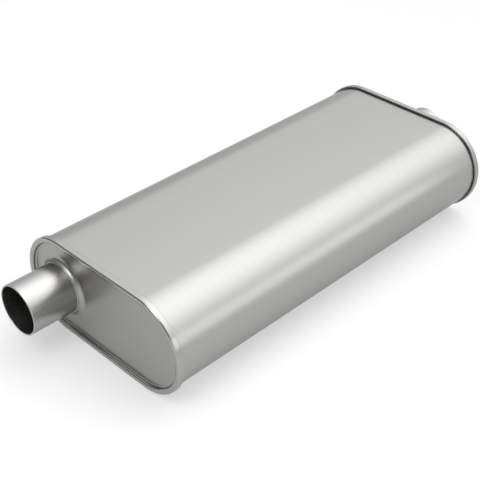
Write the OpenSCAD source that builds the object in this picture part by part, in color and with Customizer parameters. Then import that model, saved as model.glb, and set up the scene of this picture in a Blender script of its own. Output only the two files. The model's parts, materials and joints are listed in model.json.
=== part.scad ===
// Oval three-pass muffler with an offset inlet and a centred outlet.
// X runs from the inlet to the outlet, Z is up, and the part rests on its two rolled rims at Z = 0.

/* [Body] */
// Width of the shell, across the round sides
body_w = 275; // [240:1:320]
// Height of the shell, across the flat sides
body_h = 127; // [110:1:150]
// Length over the faces of the two rolled rims
body_len = 580; // [480:5:700]
// Sheet of the outer shell
shell_t = 1; // [0.8:0.1:1.2]
// Insulating layer between the two sheets of the body
liner_t = 1; // [0.6:0.1:2]
// Sheet of the inner wrap
wrap_t = 0.7; // [0.6:0.1:1]
// Width of the lock seam along the underside
seam_w = 12; // [8:0.5:16]
// How far the lock seam stands out of the underside
seam_h = 1.6; // [1:0.1:2]

/* [Heads] */
// Sheet of the pressed heads
head_t = 1.5; // [1.2:0.1:1.6]
// How far the rolled rim stands out of the shell
rim_proud = 3.3; // [3:0.1:4.5]
// Length of the rolled rim along the body
rim_w = 8.5; // [7.5:0.1:12]
// Outer corner radius of the rolled rim
rim_outer_r = 2.5; // [2:0.1:3]
// Inner corner radius of the rolled rim
rim_inner_r = 3; // [2.2:0.1:3.2]
// Depth of the flat panel below the rim's face
recess = 5; // [4.8:0.1:8]
// Radius between the panel and the wall of the recess
panel_fillet = 1.8; // [0.5:0.1:2]
// Height of the flared collar above the panel
collar_h = 4.8; // [3.5:0.1:6]
// Bend radius of the flared collar
flare_r = 8; // [6.5:0.5:10]

/* [Necks] */
// Outside diameter of the pipe that slides into a neck
pipe_od = 63.5; // [55:0.1:68]
// Wall of the necks
neck_t = 1.9; // [1.5:0.1:2.4]
// How far the necks reach beyond the rim's face
neck_reach = 64; // [40:1:90]
// Length over which a neck narrows behind the panel
swage_l = 8; // [5:0.5:12]
// Length of a neck's narrow end
grip_l = 16; // [14:0.5:24]
// Leg of the weld between a neck and its collar
weld_leg = 1.4; // [0.8:0.1:1.5]

/* [Inner works] */
// Outside diameter of the perforated tubes
tube_od = 60.3; // [54:0.1:62]
// Wall of the perforated tubes
tube_t = 1.2; // [1:0.1:1.6]
// Clear distance between the sleeves of two neighbouring tubes
tube_space = 8.5; // [6:0.5:11]
// How far a tube reaches into a neck's narrow end
tube_lap = 12; // [8:0.5:13]
// How far a free tube end stands beyond its baffle
tube_stub = 20; // [12:1:40]
// Sheet of the baffles
baffle_t = 1.2; // [1:0.1:1.6]
// Distance of the front and rear baffles from the middle
baffle_x = 170; // [140:1:200]
// Length of the flange round a baffle
flange_l = 12; // [8:1:16]
// Bend radius at the edge of a baffle
flange_r = 3; // [2:0.5:5]
// Height of a baffle's tube collars
baffle_collar_h = 8; // [5:0.5:10]
// Radius at the foot of a baffle's tube collars
baffle_collar_r = 2; // [1:0.5:2.5]
// Diameter of the equalising holes in the centre baffle
bleed_d = 8; // [4:0.5:9]
// Height of the equalising holes above and below the tubes' axes
bleed_rise = 38; // [34:1:44]
// Diameter of the perforations
perf_d = 6; // [4:0.5:7]
// Distance between two rings of perforations
perf_pitch = 20; // [14:1:30]
// Perforations in a ring
perf_count = 8; // [4:1:10]
// Bare tube between a baffle and the first ring
perf_margin = 24; // [20:1:30]
// Thickness of the steel wool sleeves
sleeve_t = 3; // [1:0.5:3]

/* [Fits] */
// Gap between layers of sheet that lie on each other
layer_gap = 0.1; // [0.05:0.05:0.2]
// Gap round a tube in a collar or a neck
slip_gap = 0.15; // [0.1:0.05:0.2]
// Gap round the pipe in a neck
pipe_gap = 0.05; // [0.05:0.05:0.25]
// Gap round the packing and the sleeves
soft_gap = 0.3; // [0.2:0.1:0.5]
// How far the shell's folded edge stays inside the rim
fold_margin = 1; // [0.5:0.1:1.5]
// Gap between the ends of the lock seam and the rims
seam_margin = 1; // [0.5:0.1:3]
// Radius of a cut sheet edge that shows
edge_r = 0.4; // [0.2:0.05:0.5]

/* [Hidden] */
$fn = 96;

steel = [0.74, 0.74, 0.73];
dull_steel = [0.6, 0.6, 0.59];
fibre = [0.86, 0.84, 0.76];
wool = [0.5, 0.5, 0.49];

// Layers of the body, as radii of its round sides
shell_r = body_h / 2;
rim_r = shell_r + rim_proud;
liner_r = shell_r - shell_t - layer_gap;
wrap_r = liner_r - liner_t - layer_gap;
wrap_bore = wrap_r - wrap_t;
wall_r = wrap_bore - layer_gap - head_t;
straight = (body_w - body_h) / 2;
body_z = rim_r;
face_x = body_len / 2;

// The shell's end lies in the channel of the rolled rim
fold_r = rim_r - head_t - layer_gap;
fold_bend = (fold_r - shell_r + shell_t) / 2;
fold_x = face_x - head_t - 2 * layer_gap - fold_bend;
fold_l = rim_w - head_t - 2 * layer_gap - fold_bend - fold_margin;
layer_x = face_x - rim_inner_r - 2 * layer_gap;
seam_x = face_x - rim_w - seam_margin;

// A neck takes the pipe as far as its swage, and holds a tube in its narrow end
neck_bore = pipe_od / 2 + pipe_gap;
neck_r = neck_bore + neck_t;
neck_hole = neck_r + slip_gap;
tip_x = face_x + neck_reach;
panel_x = face_x - recess;
swage_x = panel_x - head_t;
grip_x = swage_x - swage_l;
neck_end_x = grip_x - grip_l;
lip_x = panel_x + collar_h;
weld_x = lip_x + layer_gap;

// Angle between the collar's lip and the neck, and the radius at which the collar leaves the panel
lip_angle = asin(1 - collar_h / flare_r);
foot_r = neck_hole + (flare_r + head_t) * cos(lip_angle);

tube_r = tube_od / 2;
tube_hole = tube_r + slip_gap;
tube_in_neck_x = neck_end_x + tube_lap;
tube_free_x = baffle_x + tube_stub;
sleeve_bore = tube_r + layer_gap;
sleeve_r = sleeve_bore + sleeve_t;
inlet_offset = 2 * sleeve_r + tube_space;
packing_r = wrap_bore - soft_gap;
front_chamber = [-baffle_x + baffle_t, -baffle_t];
rear_chamber = [0, baffle_x - baffle_t];
sleeve_front = [front_chamber[0] + soft_gap, front_chamber[1] - soft_gap];
sleeve_rear = [baffle_collar_h + soft_gap, rear_chamber[1] - soft_gap];
packing_front = sleeve_front;
packing_rear = [flange_l + soft_gap, sleeve_rear[1]];

bleed_y = inlet_offset / 2;

// Flat ring round a drawn collar's foot that lies in its plate, and how far a cut reaches past what it cuts
foot_lap = 1;
cut_over = 1;
bend_steps = 7;

// Points of an arc round c, from angle a0 to angle a1
function arc(c, r, a0, a1, n = bend_steps) =
    [for (i = [0:n]) let(a = a0 + (a1 - a0) * i / n) c + r * [cos(a), sin(a)]];

// Sweeps a profile of [radius, x] points round the oval
module oval_sweep() {
    for (side = [0, 1]) {
        mirror([0, 0, side]) translate([0, -straight, 0]) rotate([-90, -90, 0])
            linear_extrude(2 * straight) children();
        mirror([0, side, 0]) translate([0, straight, 0]) rotate([0, 90, 0])
            rotate_extrude(angle = 180) children();
    }
}

// Turns a profile of [radius, x] points about an axis along X at distance y
module turned(y) {
    translate([0, y, 0]) rotate([0, 90, 0]) rotate_extrude() children();
}

// Rod along X at distance y from the centre line
module rod(y, r, x0, x1) {
    translate([x0, y, 0]) rotate([0, 90, 0]) cylinder(r = r, h = x1 - x0);
}

// Ring-shaped layer of the body between two radii, between -x and x
module oval_layer(r0, r1, x) {
    oval_sweep() polygon([[r0, -x], [r1, -x], [r1, x], [r0, x]]);
}

// Moves the body's centre line to its height above the ground
module on_ground() {
    translate([0, 0, body_z]) children();
}

// End of the shell's section, folded back on itself, with its points from the inside to the outside
function fold_points() =
    let(c = [shell_r - shell_t + fold_bend, fold_x], back = fold_x - fold_l)
    concat(
        arc(c, fold_bend, 180, 0, 2 * bend_steps),
        [[fold_r, back], [fold_r - shell_t, back]],
        arc(c, fold_bend - shell_t, 0, 180, bend_steps)
    );

module outer_shell() {
    far_end = fold_points();
    near_end = [for (i = [len(far_end) - 1:-1:0]) [far_end[i][0], -far_end[i][1]]];
    color(steel) on_ground() {
        oval_sweep() polygon(concat(far_end, near_end));
        lock_seam();
    }
}

// Folded seam along the middle of the underside, with its lower edges rounded
module lock_seam() {
    low = -shell_r - seam_h;
    high = -shell_r + shell_t / 2;
    half = seam_w / 2;
    bend = seam_h / 2;
    translate([-seam_x, 0, 0]) rotate([90, 0, 90]) linear_extrude(2 * seam_x)
        polygon(concat(
            [[half, high], [-half, high]],
            arc([-half + bend, low + bend], bend, 180, 270),
            arc([half - bend, low + bend], bend, 270, 360)
        ));
}

module shell_liner() {
    color(fibre) on_ground() oval_layer(liner_r - liner_t, liner_r, layer_x);
}

module inner_wrap() {
    color(dull_steel) on_ground() oval_layer(wrap_bore, wrap_r, layer_x);
}

// Drawn collar of height h round a hole, on a plate from x = 0 to x = t, standing towards -X
module drawn_collar(y, hole, t, h, fillet) {
    r = hole + t;
    c = [r + fillet, -fillet];
    ring_r = c[0] + foot_lap;
    turned(y) polygon(concat(
        [[ring_r, 0]],
        arc(c, fillet, 90, 180),
        arc([r - edge_r, -h + edge_r], edge_r, 0, -90),
        [[hole, -h]],
        arc(c, fillet + t, 180, 90),
        [[ring_r, t]]
    ));
}

// Collar of a head, bent out of the panel by less than a quarter turn
module flared_collar(y) {
    c = [foot_r, -flare_r];
    corner_r = flare_r + edge_r;
    end = 180 - lip_angle;
    corner = end - asin(edge_r / corner_r);
    turned(y) polygon(concat(
        [[foot_r + foot_lap, 0]],
        arc(c, flare_r, 90, corner),
        arc(c + corner_r * [cos(corner), sin(corner)], edge_r, corner - 180, end - 270),
        arc(c, flare_r + head_t, end, 90),
        [[foot_r + foot_lap, head_t]]
    ));
}

// Section of a head: x runs inwards from the rim's face
function head_points() =
    let(
        panel_c = [wall_r - panel_fillet, recess - panel_fillet],
        inner_c = [wall_r + rim_inner_r, rim_inner_r],
        outer_c = [rim_r - rim_outer_r, rim_outer_r],
        edge_c = [rim_r - edge_r, rim_w - edge_r]
    )
    concat(
        [[0, recess]],
        arc(panel_c, panel_fillet, 90, 0),
        arc(inner_c, rim_inner_r, 180, 270),
        arc(outer_c, rim_outer_r, 270, 360),
        arc(edge_c, edge_r, 0, 90),
        [[rim_r - head_t, rim_w]],
        arc(outer_c, rim_outer_r - head_t, 360, 270),
        arc(inner_c, rim_inner_r - head_t, 270, 180),
        arc(panel_c, panel_fillet + head_t, 0, 90),
        [[0, recess + head_t]]
    );

// Pressed head at the -X end, with its neck at distance y from the centre line
module head(y) {
    translate([-face_x, 0, 0]) {
        difference() {
            oval_sweep() polygon(head_points());
            rod(y, foot_r, 0, rim_w);
        }
        translate([recess, 0, 0]) flared_collar(y);
    }
}

module inlet_head() {
    color(steel) on_ground() head(inlet_offset);
}

module outlet_head() {
    color(steel) on_ground() mirror([1, 0, 0]) head(0);
}

// Neck at the -X end, with its open end's edges rounded and its inner end narrowed to the tube
module neck(y) {
    lip = -tip_x + edge_r;
    turned(y) polygon(concat(
        arc([neck_bore + edge_r, lip], edge_r, 180, 270),
        arc([neck_r - edge_r, lip], edge_r, 270, 360),
        [
            [neck_r, -swage_x], [tube_hole + neck_t, -grip_x], [tube_hole + neck_t, -neck_end_x],
            [tube_hole, -neck_end_x], [tube_hole, -grip_x], [neck_bore, -swage_x]
        ]
    ));
}

module inlet_neck() {
    color(steel) on_ground() neck(inlet_offset);
}

module outlet_neck() {
    color(steel) on_ground() mirror([1, 0, 0]) neck(0);
}

// Weld bead on the lip of the collar at the -X end
module neck_weld(y) {
    root = [neck_r + layer_gap / 2, -weld_x];
    turned(y) polygon(concat([root], arc(root, weld_leg, 270, 360)));
}

module inlet_neck_weld() {
    color(dull_steel) on_ground() neck_weld(inlet_offset);
}

module outlet_neck_weld() {
    color(dull_steel) on_ground() mirror([1, 0, 0]) neck_weld(0);
}

// Section of a baffle: plate from x = 0 to x = baffle_t, flange towards -X
function baffle_points() =
    let(r = wrap_bore - layer_gap, c = [r - baffle_t - flange_r, -flange_r])
    concat(
        [[0, 0]],
        arc(c, flange_r, 90, 0),
        [[r - baffle_t, -flange_l], [r, -flange_l]],
        arc(c, flange_r + baffle_t, 0, 90),
        [[0, baffle_t]]
    );

module baffle() {
    collar_foot = tube_hole + baffle_t + baffle_collar_r;
    difference() {
        oval_sweep() polygon(baffle_points());
        for (y = [-inlet_offset, 0, inlet_offset])
            rod(y, collar_foot, -flange_l, flange_l);
    }
    for (y = [-inlet_offset, 0, inlet_offset])
        drawn_collar(y, tube_hole, baffle_t, baffle_collar_h, baffle_collar_r);
}

module front_baffle() {
    color(dull_steel) on_ground() translate([-baffle_x, 0, 0]) baffle();
}

module centre_baffle() {
    color(dull_steel) on_ground() difference() {
        mirror([1, 0, 0]) baffle();
        for (y = [-bleed_y, bleed_y], z = [-bleed_rise, bleed_rise])
            translate([-baffle_t - cut_over, y, z]) rotate([0, 90, 0])
                cylinder(d = bleed_d, h = baffle_t + 2 * cut_over);
    }
}

module rear_baffle() {
    color(dull_steel) on_ground() translate([baffle_x, 0, 0]) mirror([1, 0, 0]) baffle();
}

// Rings of holes through a tube in a chamber, every other ring turned by half a step
module perforations(y, chamber) {
    rings = floor((chamber[1] - chamber[0] - 2 * perf_margin) / perf_pitch);
    first = (chamber[0] + chamber[1] - rings * perf_pitch) / 2;
    for (ring = [0:rings], hole = [0:perf_count - 1])
        translate([first + ring * perf_pitch, y, 0])
            rotate([(hole + (ring % 2) / 2) * 360 / perf_count, 0, 0])
                translate([0, 0, tube_r - 2 * tube_t]) cylinder(d = perf_d, h = 3 * tube_t);
}

module perforated_tube(y, x0, x1) {
    difference() {
        rod(y, tube_r, x0, x1);
        rod(y, tube_r - tube_t, x0 - cut_over, x1 + cut_over);
        perforations(y, front_chamber);
        perforations(y, rear_chamber);
    }
}

module inlet_tube() {
    color(dull_steel) on_ground() perforated_tube(inlet_offset, -tube_in_neck_x, tube_free_x);
}

module return_tube() {
    color(dull_steel) on_ground() perforated_tube(-inlet_offset, -tube_free_x, tube_free_x);
}

module outlet_tube() {
    color(dull_steel) on_ground() perforated_tube(0, -tube_free_x, tube_in_neck_x);
}

// Packing that fills a chamber round the three sleeves
module packing(span) {
    color(fibre) on_ground() difference() {
        oval_sweep() polygon([[0, span[0]], [packing_r, span[0]], [packing_r, span[1]], [0, span[1]]]);
        for (y = [-inlet_offset, 0, inlet_offset])
            rod(y, sleeve_r + soft_gap, span[0] - cut_over, span[1] + cut_over);
    }
}

module sleeve(y, span) {
    color(wool) on_ground() difference() {
        rod(y, sleeve_r, span[0], span[1]);
        rod(y, sleeve_bore, span[0] - cut_over, span[1] + cut_over);
    }
}

outer_shell();
shell_liner();
inner_wrap();
inlet_head();
outlet_head();
inlet_neck();
outlet_neck();
inlet_neck_weld();
outlet_neck_weld();
front_baffle();
centre_baffle();
rear_baffle();
inlet_tube();
return_tube();
outlet_tube();
packing(packing_front);  // front_packing
packing(packing_rear);  // rear_packing
sleeve(inlet_offset, sleeve_front);  // inlet_sleeve_front
sleeve(inlet_offset, sleeve_rear);  // inlet_sleeve_rear
sleeve(-inlet_offset, sleeve_front);  // return_sleeve_front
sleeve(-inlet_offset, sleeve_rear);  // return_sleeve_rear
sleeve(0, sleeve_front);  // outlet_sleeve_front
sleeve(0, sleeve_rear);  // outlet_sleeve_rear
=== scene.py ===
import json
import math

import bmesh
import bpy
from mathutils import Matrix, Vector


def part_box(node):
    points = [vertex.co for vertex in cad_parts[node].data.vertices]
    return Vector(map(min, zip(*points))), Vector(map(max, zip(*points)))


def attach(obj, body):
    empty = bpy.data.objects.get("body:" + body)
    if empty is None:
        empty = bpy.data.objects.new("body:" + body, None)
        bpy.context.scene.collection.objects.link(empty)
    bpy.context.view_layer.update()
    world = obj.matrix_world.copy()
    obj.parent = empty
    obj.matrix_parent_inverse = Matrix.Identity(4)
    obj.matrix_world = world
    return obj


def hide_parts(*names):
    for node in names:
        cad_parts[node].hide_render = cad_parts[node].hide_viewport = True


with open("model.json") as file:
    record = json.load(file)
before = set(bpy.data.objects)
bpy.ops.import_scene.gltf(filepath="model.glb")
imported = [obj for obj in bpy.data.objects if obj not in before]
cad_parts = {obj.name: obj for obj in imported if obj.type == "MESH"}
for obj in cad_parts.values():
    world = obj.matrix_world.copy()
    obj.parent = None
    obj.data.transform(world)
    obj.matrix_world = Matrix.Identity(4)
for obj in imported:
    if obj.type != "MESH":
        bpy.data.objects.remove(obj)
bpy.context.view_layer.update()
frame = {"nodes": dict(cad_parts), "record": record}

MM = 0.001

# Camera of the photograph, worked out from the object's outline there: degrees, metres and pixels
CAMERA_AZIMUTH = -45.07
CAMERA_ELEVATION = 35.33
CAMERA_ROLL = 0.13
CAMERA_DISTANCE = 1.37452
CAMERA_TARGET = Vector((-0.03794, 0.01589, 0.0417))
FOCAL_PX = 1015.74
IMAGE_PX = 480
SENSOR_MM = 36

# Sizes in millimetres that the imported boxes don't give. Thickness of the sheets, the gaps between
# them, and the rounding of a cut edge
SHELL_T = 1.0
HEAD_T = 1.5
NECK_T = 1.9
LAYER_GAP = 0.1
SLIP_GAP = 0.15
EDGE_R = 0.4

# Rolled rim: how far it stands out of the shell, its width, its outer and inner bend, its open edge,
# and how far inside that edge the shell's fold ends
RIM_PROUD = 3.3
RIM_W = 8.5
RIM_OUTER_R = 2.5
RIM_INNER_R = 3.0
RIM_EDGE_R = 0.75
FOLD_MARGIN = 0.05

# Head inside the rim: radius of the recess's wall, its depth and its fillet, the height and the bend
# of the collar, and the leg of the weld
WALL_R = 59.0
RECESS = 5.0
PANEL_FILLET = 1.8
COLLAR_H = 4.8
FLARE_R = 8.0
WELD_LEG = 1.4

# Neck: radii of its bore and of its narrower inner end's, and the lengths of the swage and that end
NECK_BORE = 31.8
GRIP_BORE = 30.3
SWAGE_L = 8.0
GRIP_L = 16.0

# Lock seam: its width and height, and the gap between its ends and the rims
SEAM_W = 12.0
SEAM_H = 1.6
SEAM_MARGIN = 1.0

# Fineness of the meshes: steps of an arc and of half a turn of the oval, the longest step along a
# straight, and how close a point holds each end of a stretch that is longer than HELD_FROM
ARC_STEPS = 8
HALF_TURN_STEPS = 80
MAX_STEP = 24.0
HOLD = 0.25
HELD_FROM = 1.0

# Steel: its base colours, the share by which the tone varies, and the light kept at a flat angle
STEEL = (0.36, 0.357, 0.349)
NECK_STEEL = (0.396, 0.392, 0.384)
TONE = 0.02
EDGE_TINT = 0.75

# Roughness of each finish
SHELL_MATT = 0.3
HEAD_MATT = 0.35
RIM_MATT = 0.2
NECK_MATT = 0.28
WELD_MATT = 0.35
INNER_MATT = 0.4
WOOL_MATT = 0.6

# Noise: its cells per metre, its octaves and the weight of the finer ones
GRAIN_NOISE = (900, 6, 0.65)
CLOUD_NOISE = (14, 3, 0.5)
FIBRE_NOISE = (300, 8, 0.7)

# Grain of the steel: its scale along the brushing, its depth in metres, the strength of its relief on
# sheet, on pressed parts and on wool, and how much the roughness spreads for a strength of 1
GRAIN_LONG = 0.03
GRAIN_DEPTH = 0.0001
SHEET_BUMP = 0.02
PRESSED_BUMP = 0.01
WOOL_BUMP = 0.06
GRAIN_MATT = 6

# Directions of the brushing
ALONG_X, ALONG_Y, ALONG_Z = range(3)

# Fibre inside: its colours, the darkest share of a colour, and the depth of its relief in metres
LINER = (0.82, 0.8, 0.74)
GLASS_FIBRE = (0.88, 0.86, 0.78)
FIBRE_SHADE = 0.7
FIBRE_DEPTH = 0.0005

# Light of the room by how far a direction points along SKY_AXIS: pairs of that share and a level
SKY_AXIS = Vector((0.38, -0.1, 0.92))
SKY = (
    (-0.5, 0.08), (-0.12, 0.15), (0.02, 0.45), (0.12, 0.78), (0.25, 0.95),
    (0.54, 1.1), (0.65, 1.4), (0.76, 1.75), (0.88, 2.25), (1.0, 2.95),
)

# Share of that light which is left towards -X, and the X of a direction where the fade starts and ends
FRONT_SHARE = 0.5
FRONT_FADE = (-0.3, 0.3)

# Lamps: the middle, the way each faces, its size in metres and its power in watts. One is a low strip
# beside the shell. The other is above the inlet's end, and the head mirrors it beside the neck
LOW_LAMP = (Vector((-0.15, -0.45, 0.17)), Vector((0, 1, 0)), (1.4, 0.15), 0.6)
FRONT_LAMP = (Vector((-1.15, -0.13, 1.3)), Vector((0.577, 0.12, -0.8)), (0.75, 1.1), 9.0)

# Floor: its size in metres, its colour, and the share of plain white that the camera and the metal
# see in it
FLOOR_SIZE = 200
FLOOR_COLOUR = 0.72
FLOOR_WHITE = 0.45

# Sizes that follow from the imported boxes
head_low, head_high = (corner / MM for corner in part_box("inlet_head"))
neck_low, neck_high = (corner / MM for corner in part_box("inlet_neck"))
RIM_R = (head_high.z - head_low.z) / 2
STRAIGHT = (head_high.y - head_low.y) / 2 - RIM_R
CENTRE_Z = (head_high.z + head_low.z) / 2
FACE_X = -head_low.x
TIP_X = -neck_low.x
INLET_Y = (neck_low.y + neck_high.y) / 2
NECK_R = NECK_BORE + NECK_T
NECK_HOLE = NECK_R + SLIP_GAP
SHELL_R = RIM_R - RIM_PROUD


def arc(centre, radius, start, end, steps=ARC_STEPS):
    """Points of an arc, with its angles in degrees."""
    angles = [math.radians(start + (end - start) * i / steps) for i in range(steps + 1)]
    return [(centre[0] + radius * math.cos(a), centre[1] + radius * math.sin(a)) for a in angles]


def refined(points, closed):
    """The same outline with points close to each bend's ends, and long stretches divided."""
    made = []
    count = len(points)
    for i in range(count if closed else count - 1):
        a, b = Vector(points[i]), Vector(points[(i + 1) % count])
        made.append(a)
        length = (b - a).length
        if length > HELD_FROM:
            steps = math.ceil(length / MAX_STEP)
            shares = [HOLD / length] + [k / steps for k in range(1, steps)] + [1 - HOLD / length]
            made += [a.lerp(b, share) for share in shares]
    if not closed:
        made.append(Vector(points[-1]))
    return made


def oval_path(centre_y, straight):
    """Centres and outward directions, in Y and Z, round an oval or, where straight is 0, a circle."""
    stations = []
    for side in (-1, 1):
        for i in range(HALF_TURN_STEPS + (1 if straight else 0)):
            a = math.pi * i / HALF_TURN_STEPS
            out = Vector((side * math.sin(a), -side * math.cos(a)))
            stations.append((Vector((centre_y + side * straight, CENTRE_Z)), out))
        steps = math.ceil(2 * straight / MAX_STEP)
        for i in range(1, steps):
            y = centre_y + side * straight * (1 - 2 * i / steps)
            stations.append((Vector((y, CENTRE_Z)), Vector((0, side))))
    return stations


def ring(bm, path, radius, x):
    """One loop of vertices at a radius round the path."""
    places = [centre + radius * out for centre, out in path]
    return [bm.verts.new((x * MM, p.x * MM, p.y * MM)) for p in places]


def skin(bm, rings, closed):
    """Faces between neighbouring rings."""
    pairs = list(zip(rings, rings[1:]))
    if closed:
        pairs.append((rings[-1], rings[0]))
    for low, high in pairs:
        for i in range(len(low)):
            j = (i + 1) % len(low)
            bm.faces.new((low[i], low[j], high[j], high[i]))


def sweep(bm, path, section, closed=True):
    """Sweeps a section of (radius, x) points round the path. Returns its first and last ring."""
    rings = [ring(bm, path, p.x, p.y) for p in refined(section, closed)]
    skin(bm, rings, closed)
    return rings[0], rings[-1]


def plate(bm, outer, holes):
    """Fills the flat area between loops of vertices that lie in one plane."""
    edges = []
    for loop in (outer, *holes):
        for i in range(len(loop)):
            pair = (loop[i], loop[(i + 1) % len(loop)])
            edges.append(bm.edges.get(pair) or bm.edges.new(pair))
    bmesh.ops.triangle_fill(bm, edges=edges, use_beauty=True, use_dissolve=False)


def piece(name, bm, material, replaced=()):
    """Makes a smooth object from the mesh, which rides on the muffler."""
    bmesh.ops.recalc_face_normals(bm, faces=bm.faces)
    mesh = bpy.data.meshes.new(name)
    bm.to_mesh(mesh)
    bm.free()
    mesh.shade_smooth()
    mesh.materials.append(material)
    made = bpy.data.objects.new(name, mesh)
    bpy.context.scene.collection.objects.link(made)
    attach(made, "root")
    if replaced:
        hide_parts(*replaced)
    return made


def shell_section():
    """Shell with both ends folded back into the rims' channels."""
    fold_r = RIM_R - HEAD_T - LAYER_GAP
    bend = (fold_r - SHELL_R + SHELL_T) / 2
    fold_x = FACE_X - HEAD_T - 2 * LAYER_GAP - bend
    back = fold_x - (RIM_W - HEAD_T - 2 * LAYER_GAP - bend - FOLD_MARGIN)
    centre = (SHELL_R - SHELL_T + bend, fold_x)
    far = arc(centre, bend, 180, 0, 2 * ARC_STEPS)
    far += [(fold_r, back), (fold_r - SHELL_T, back)]
    far += arc(centre, bend - SHELL_T, 0, 180)
    return far + [(r, -x) for r, x in reversed(far)]


def make_shell(material):
    """Oval body sheet with its folded ends."""
    bm = bmesh.new()
    sweep(bm, oval_path(0, STRAIGHT), shell_section())
    return piece("body_shell", bm, material, ["outer_shell"])


def make_lock_seam(material):
    """Folded seam along the underside, from rim to rim."""
    low = CENTRE_Z - SHELL_R - SEAM_H
    high = CENTRE_Z - SHELL_R
    half = SEAM_W / 2
    bend = SEAM_H / 2
    end = FACE_X - RIM_W - SEAM_MARGIN
    section = [(half, high), (-half, high)]
    section += arc((-half + bend, low + bend), bend, 180, 270)
    section += arc((half - bend, low + bend), bend, 270, 360)
    bm = bmesh.new()
    count = math.ceil(2 * end / MAX_STEP)
    rings = []
    for i in range(count + 1):
        x = -end + 2 * end * i / count
        rings.append([bm.verts.new((x * MM, y * MM, z * MM)) for y, z in section])
    skin(bm, rings, closed=False)
    bm.faces.new(rings[0])
    bm.faces.new(rings[-1])
    return piece("lock_seam", bm, material)


def rim_section():
    """Head outside its flat panel: wall of the recess, rolled rim and channel, from front to back."""
    panel = (WALL_R - PANEL_FILLET, RECESS - PANEL_FILLET)
    inner = (WALL_R + RIM_INNER_R, RIM_INNER_R)
    outer = (RIM_R - RIM_OUTER_R, RIM_OUTER_R)
    edge = (RIM_R - RIM_EDGE_R, RIM_W - RIM_EDGE_R)
    points = [(panel[0] - HOLD, RECESS)]
    points += arc(panel, PANEL_FILLET, 90, 0)
    points += arc(inner, RIM_INNER_R, 180, 270)
    points += arc(outer, RIM_OUTER_R, 270, 360)
    points += arc(edge, RIM_EDGE_R, 0, 90)
    points += [(RIM_R - HEAD_T, RIM_W)]
    points += arc(outer, RIM_OUTER_R - HEAD_T, 360, 270)
    points += arc(inner, RIM_INNER_R - HEAD_T, 270, 180)
    points += arc(panel, PANEL_FILLET + HEAD_T, 0, 90)
    points += [(panel[0] - HOLD, RECESS + HEAD_T)]
    return points


def collar_section():
    """Collar bent out of the panel by less than a quarter turn, from front to back."""
    lip = math.asin(1 - COLLAR_H / FLARE_R)
    foot = (NECK_HOLE + (FLARE_R + HEAD_T) * math.cos(lip), RECESS - FLARE_R)
    end = 180 - math.degrees(lip)
    corner_r = FLARE_R + EDGE_R
    corner = end - math.degrees(math.asin(EDGE_R / corner_r))
    edge = arc(foot, corner_r, corner, corner, 1)[0]
    points = [(foot[0] + HOLD, RECESS)]
    points += arc(foot, FLARE_R, 90, corner)
    points += arc(edge, EDGE_R, corner - 180, end - 270)
    points += arc(foot, FLARE_R + HEAD_T, end, 90)
    points += [(foot[0] + HOLD, RECESS + HEAD_T)]
    return points


def facing(section, side):
    """A section given inwards from the -X face, put at the -X or the +X end."""
    return [(r, side * (FACE_X - x)) for r, x in section]


def make_head(name, node, side, y, material):
    """Pressed head with its rolled rim and its drawn collar."""
    bm = bmesh.new()
    front, back = sweep(bm, oval_path(0, STRAIGHT), facing(rim_section(), side), closed=False)
    foot, foot_back = sweep(bm, oval_path(y, 0), facing(collar_section(), side), closed=False)
    plate(bm, front, [foot])
    plate(bm, back, [foot_back])
    return piece(name, bm, material, [node])


def make_neck(name, node, side, y, material):
    """Pipe stub with a rounded lip and a swaged inner end."""
    lip = FACE_X - TIP_X + EDGE_R
    swage = RECESS + HEAD_T
    grip = swage + SWAGE_L
    end = grip + GRIP_L
    points = arc((NECK_BORE + EDGE_R, lip), EDGE_R, 180, 270)
    points += arc((NECK_R - EDGE_R, lip), EDGE_R, 270, 360)
    points += [(NECK_R, swage), (GRIP_BORE + NECK_T, grip), (GRIP_BORE + NECK_T, end)]
    points += [(GRIP_BORE, end), (GRIP_BORE, grip), (NECK_BORE, swage)]
    bm = bmesh.new()
    sweep(bm, oval_path(y, 0), facing(points, side))
    return piece(name, bm, material, [node])


def make_weld(name, node, side, y, material):
    """Fillet weld between the collar's lip and the neck."""
    root = (NECK_R + LAYER_GAP / 2, RECESS - COLLAR_H - LAYER_GAP)
    points = [root] + arc(root, WELD_LEG, 270, 360)
    bm = bmesh.new()
    sweep(bm, oval_path(y, 0), facing(points, side))
    return piece(name, bm, material, [node])


def node_of(tree, kind, **values):
    """A new shader node with its settings."""
    made = tree.nodes.new(kind)
    for name, value in values.items():
        setattr(made, name, value)
    return made


def maths(tree, operation, *values):
    """What a new math node gives, from numbers and what other nodes give."""
    made = node_of(tree, "ShaderNodeMath", operation=operation)
    for socket, value in zip(made.inputs, values):
        if isinstance(value, (int, float)):
            socket.default_value = value
        else:
            tree.links.new(value, socket)
    return made.outputs["Value"]


def noise(tree, place, scale, detail, roughness):
    """Uneven values from 0 to 1."""
    made = node_of(tree, "ShaderNodeTexNoise")
    made.inputs["Scale"].default_value = scale
    made.inputs["Detail"].default_value = detail
    made.inputs["Roughness"].default_value = roughness
    tree.links.new(place, made.inputs["Vector"])
    return made.outputs["Fac"]


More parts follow.
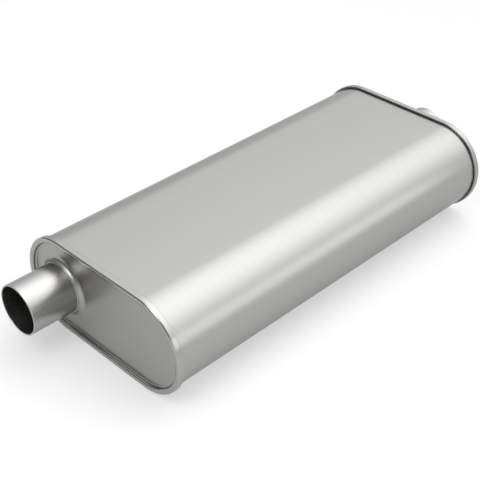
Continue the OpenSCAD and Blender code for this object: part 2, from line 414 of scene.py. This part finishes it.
def rim_share(tree, place):
    """0 on a head's panel and 1 on its rolled rim, by the distance from the oval's centre line."""
    parts = node_of(tree, "ShaderNodeSeparateXYZ")
    tree.links.new(place, parts.inputs["Vector"])
    beyond = maths(tree, "SUBTRACT", maths(tree, "ABSOLUTE", parts.outputs["Y"]), STRAIGHT * MM)
    across = maths(tree, "MAXIMUM", beyond, 0)
    up = maths(tree, "SUBTRACT", parts.outputs["Z"], CENTRE_Z * MM)
    squares = [maths(tree, "MULTIPLY", length, length) for length in (across, up)]
    share = node_of(tree, "ShaderNodeMapRange")
    share.inputs["From Min"].default_value = (WALL_R - PANEL_FILLET) * MM
    share.inputs["From Max"].default_value = WALL_R * MM
    distance = maths(tree, "SQRT", maths(tree, "ADD", *squares))
    tree.links.new(distance, share.inputs["Value"])
    return share.outputs["Result"]


def new_material(name):
    """A material, its node tree and its shader."""
    material = bpy.data.materials.new(name)
    material.use_nodes = True
    return material, material.node_tree, material.node_tree.nodes["Principled BSDF"]


def tint(tree, low, high, share):
    """Gives the surface a mix of two colours."""
    mix = node_of(tree, "ShaderNodeMix", data_type="RGBA")
    first, second = (socket for socket in mix.inputs if socket.type == "RGBA")
    first.default_value = [*low, 1]
    second.default_value = [*high, 1]
    mixed = next(socket for socket in mix.outputs if socket.type == "RGBA")
    tree.links.new(share, mix.inputs["Factor"])
    tree.links.new(mixed, tree.nodes["Principled BSDF"].inputs["Base Color"])


def emboss(tree, height, depth, strength=1):
    """Gives the surface a fine relief."""
    relief = node_of(tree, "ShaderNodeBump")
    relief.inputs["Strength"].default_value = strength
    relief.inputs["Distance"].default_value = depth
    tree.links.new(height, relief.inputs["Height"])
    tree.links.new(relief.outputs["Normal"], tree.nodes["Principled BSDF"].inputs["Normal"])


def steel(name, colour, roughness, grain_axis, bump=SHEET_BUMP, rim_roughness=None):
    """Satin steel with brushed grain, a faint uneven tone and, on a head, a smoother rim."""
    material, tree, shader = new_material(name)
    shader.inputs["Metallic"].default_value = 1
    shader.inputs["Specular Tint"].default_value = [EDGE_TINT] * 3 + [1]
    place = node_of(tree, "ShaderNodeTexCoord").outputs["Object"]
    stretch = node_of(tree, "ShaderNodeMapping")
    stretch.inputs["Scale"].default_value = [GRAIN_LONG if i == grain_axis else 1 for i in range(3)]
    tree.links.new(place, stretch.inputs["Vector"])
    grain = noise(tree, stretch.outputs["Vector"], *GRAIN_NOISE)
    clouds = noise(tree, place, *CLOUD_NOISE)
    low, high = ([c * share for c in colour] for share in (1 - TONE, 1 + TONE))
    tint(tree, low, high, maths(tree, "DIVIDE", maths(tree, "ADD", grain, clouds), 2))

    spread = GRAIN_MATT * bump
    matt = maths(tree, "MULTIPLY_ADD", grain, spread, roughness - spread / 2)
    if rim_roughness is not None:
        matt = maths(tree, "MULTIPLY_ADD", rim_share(tree, place), rim_roughness - roughness, matt)
    tree.links.new(matt, shader.inputs["Roughness"])
    emboss(tree, grain, GRAIN_DEPTH, bump)
    return material


def fibre(name, colour):
    """Matted fibre with an uneven tone and a rough surface."""
    material, tree, shader = new_material(name)
    shader.inputs["Roughness"].default_value = 1
    strands = noise(tree, node_of(tree, "ShaderNodeTexCoord").outputs["Object"], *FIBRE_NOISE)
    tint(tree, [c * FIBRE_SHADE for c in colour], colour, strands)
    emboss(tree, strands, FIBRE_DEPTH)
    return material


def make_camera():
    """Camera of the photograph."""
    azimuth, elevation = math.radians(CAMERA_AZIMUTH), math.radians(CAMERA_ELEVATION)
    roll = math.radians(CAMERA_ROLL)
    across = Vector((math.cos(azimuth), math.sin(azimuth), 0))
    away = Vector((math.sin(azimuth), -math.cos(azimuth), 0))
    back = away * math.cos(elevation) + Vector((0, 0, math.sin(elevation)))
    up = back.cross(across)
    side = across * math.cos(roll) + up * math.sin(roll)
    camera = bpy.data.objects.new("camera", bpy.data.cameras.new("camera"))
    bpy.context.scene.collection.objects.link(camera)
    camera.data.sensor_width = SENSOR_MM
    camera.data.lens = FOCAL_PX / IMAGE_PX * SENSOR_MM
    turn = Matrix((side, back.cross(side), back)).transposed().to_4x4()
    camera.matrix_world = Matrix.Translation(CAMERA_TARGET + CAMERA_DISTANCE * back) @ turn
    bpy.context.scene.camera = camera


def make_world():
    """Room whose light follows SKY, and is dimmer towards -X."""
    world = bpy.data.worlds.new("room")
    bpy.context.scene.world = world
    world.use_nodes = True
    tree = world.node_tree
    background = tree.nodes["Background"]
    towards = node_of(tree, "ShaderNodeTexCoord").outputs["Generated"]
    (first, _), (last, brightest) = SKY[0], SKY[-1]

    along = node_of(tree, "ShaderNodeVectorMath", operation="DOT_PRODUCT")
    along.inputs[1].default_value = SKY_AXIS
    share = node_of(tree, "ShaderNodeMapRange")
    share.inputs["From Min"].default_value = first
    share.inputs["From Max"].default_value = last
    ramp = node_of(tree, "ShaderNodeValToRGB")
    ramp.color_ramp.interpolation = "B_SPLINE"
    stops = ramp.color_ramp.elements
    for place, _ in SKY[1:-1]:
        stops.new((place - first) / (last - first))
    for stop, (_, level) in zip(stops, SKY):
        stop.color = [level / brightest] * 3 + [1]
    tree.links.new(towards, along.inputs[0])
    tree.links.new(along.outputs["Value"], share.inputs["Value"])
    tree.links.new(share.outputs["Result"], ramp.inputs["Fac"])
    tree.links.new(ramp.outputs["Color"], background.inputs["Color"])

    parts = node_of(tree, "ShaderNodeSeparateXYZ")
    front = node_of(tree, "ShaderNodeMapRange", interpolation_type="SMOOTHSTEP")
    front.inputs["From Min"].default_value = FRONT_FADE[0]
    front.inputs["From Max"].default_value = FRONT_FADE[1]
    front.inputs["To Min"].default_value = FRONT_SHARE
    tree.links.new(towards, parts.inputs["Vector"])
    tree.links.new(parts.outputs["X"], front.inputs["Value"])
    strength = maths(tree, "MULTIPLY", front.outputs["Result"], brightest)
    tree.links.new(strength, background.inputs["Strength"])


def make_lamp(name, place, facing, size, power):
    """Rectangular lamp that the camera doesn't see."""
    lamp = bpy.data.lights.new(name, "AREA")
    lamp.shape = "RECTANGLE"
    lamp.size, lamp.size_y = size
    lamp.energy = power
    holder = bpy.data.objects.new(name, lamp)
    turn = facing.to_track_quat("-Z", "Y").to_matrix().to_4x4()
    holder.matrix_world = Matrix.Translation(place) @ turn
    holder.visible_camera = False
    bpy.context.scene.collection.objects.link(holder)


def make_sheet(name, corners, colour):
    """Matt sheet that belongs to the room. Returns the node tree of its material."""
    bm = bmesh.new()
    bm.faces.new([bm.verts.new(corner) for corner in corners])
    mesh = bpy.data.meshes.new(name)
    bm.to_mesh(mesh)
    bm.free()
    sheet = bpy.data.objects.new(name, mesh)
    bpy.context.scene.collection.objects.link(sheet)
    material, tree, shader = new_material(name)
    shader.inputs["Base Color"].default_value = [colour] * 3 + [1]
    shader.inputs["Roughness"].default_value = 1
    shader.inputs["Specular IOR Level"].default_value = 0
    mesh.materials.append(material)
    return tree


def make_floor():
    """White floor whose shadow is softened with plain white for the camera and the metal."""
    half = FLOOR_SIZE / 2
    corners = [(x * half, y * half, 0) for x, y in ((-1, -1), (1, -1), (1, 1), (-1, 1))]
    tree = make_sheet("floor", corners, FLOOR_COLOUR)
    rays = node_of(tree, "ShaderNodeLightPath").outputs
    seen = maths(tree, "MAXIMUM", rays["Is Camera Ray"], rays["Is Glossy Ray"])
    seen = maths(tree, "MAXIMUM", seen, rays["Is Transmission Ray"])
    white = node_of(tree, "ShaderNodeEmission")
    blend = node_of(tree, "ShaderNodeMixShader")
    tree.links.new(maths(tree, "MULTIPLY", seen, FLOOR_WHITE), blend.inputs["Fac"])
    tree.links.new(tree.nodes["Principled BSDF"].outputs["BSDF"], blend.inputs[1])
    tree.links.new(white.outputs["Emission"], blend.inputs[2])
    tree.links.new(blend.outputs["Shader"], tree.nodes["Material Output"].inputs["Surface"])


make_camera()
shell_steel = steel("shell_steel", STEEL, SHELL_MATT, ALONG_X)
head_steel = steel("head_steel", STEEL, HEAD_MATT, ALONG_Z, PRESSED_BUMP, RIM_MATT)
neck_steel = steel("neck_steel", NECK_STEEL, NECK_MATT, ALONG_X, PRESSED_BUMP)
weld_steel = steel("weld_steel", STEEL, WELD_MATT, ALONG_X)
inner_steel = steel("inner_steel", STEEL, INNER_MATT, ALONG_X)
make_shell(shell_steel)
make_lock_seam(shell_steel)
for end, side, y in (("inlet", -1, INLET_Y), ("outlet", 1, 0)):
    make_head(f"{end}_head_pressing", f"{end}_head", side, y, head_steel)
    make_neck(f"{end}_neck_pipe", f"{end}_neck", side, y, neck_steel)
    make_weld(f"{end}_weld_bead", f"{end}_neck_weld", side, y, weld_steel)

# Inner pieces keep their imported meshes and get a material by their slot
inner = {
    "liner": fibre("liner", LINER),
    "glass_fibre": fibre("glass_fibre", GLASS_FIBRE),
    "steel_wool": steel("steel_wool", STEEL, WOOL_MATT, ALONG_Y, WOOL_BUMP),
}
for part in frame["record"]["subparts"]:
    for slot in frame["nodes"][part["node"]].material_slots:
        slot.material = inner.get(part["material_slot"], inner_steel)
make_world()
make_lamp("low_lamp", *LOW_LAMP)
make_lamp("front_lamp", *FRONT_LAMP)
make_floor()
bpy.context.scene.view_settings.view_transform = "Standard"
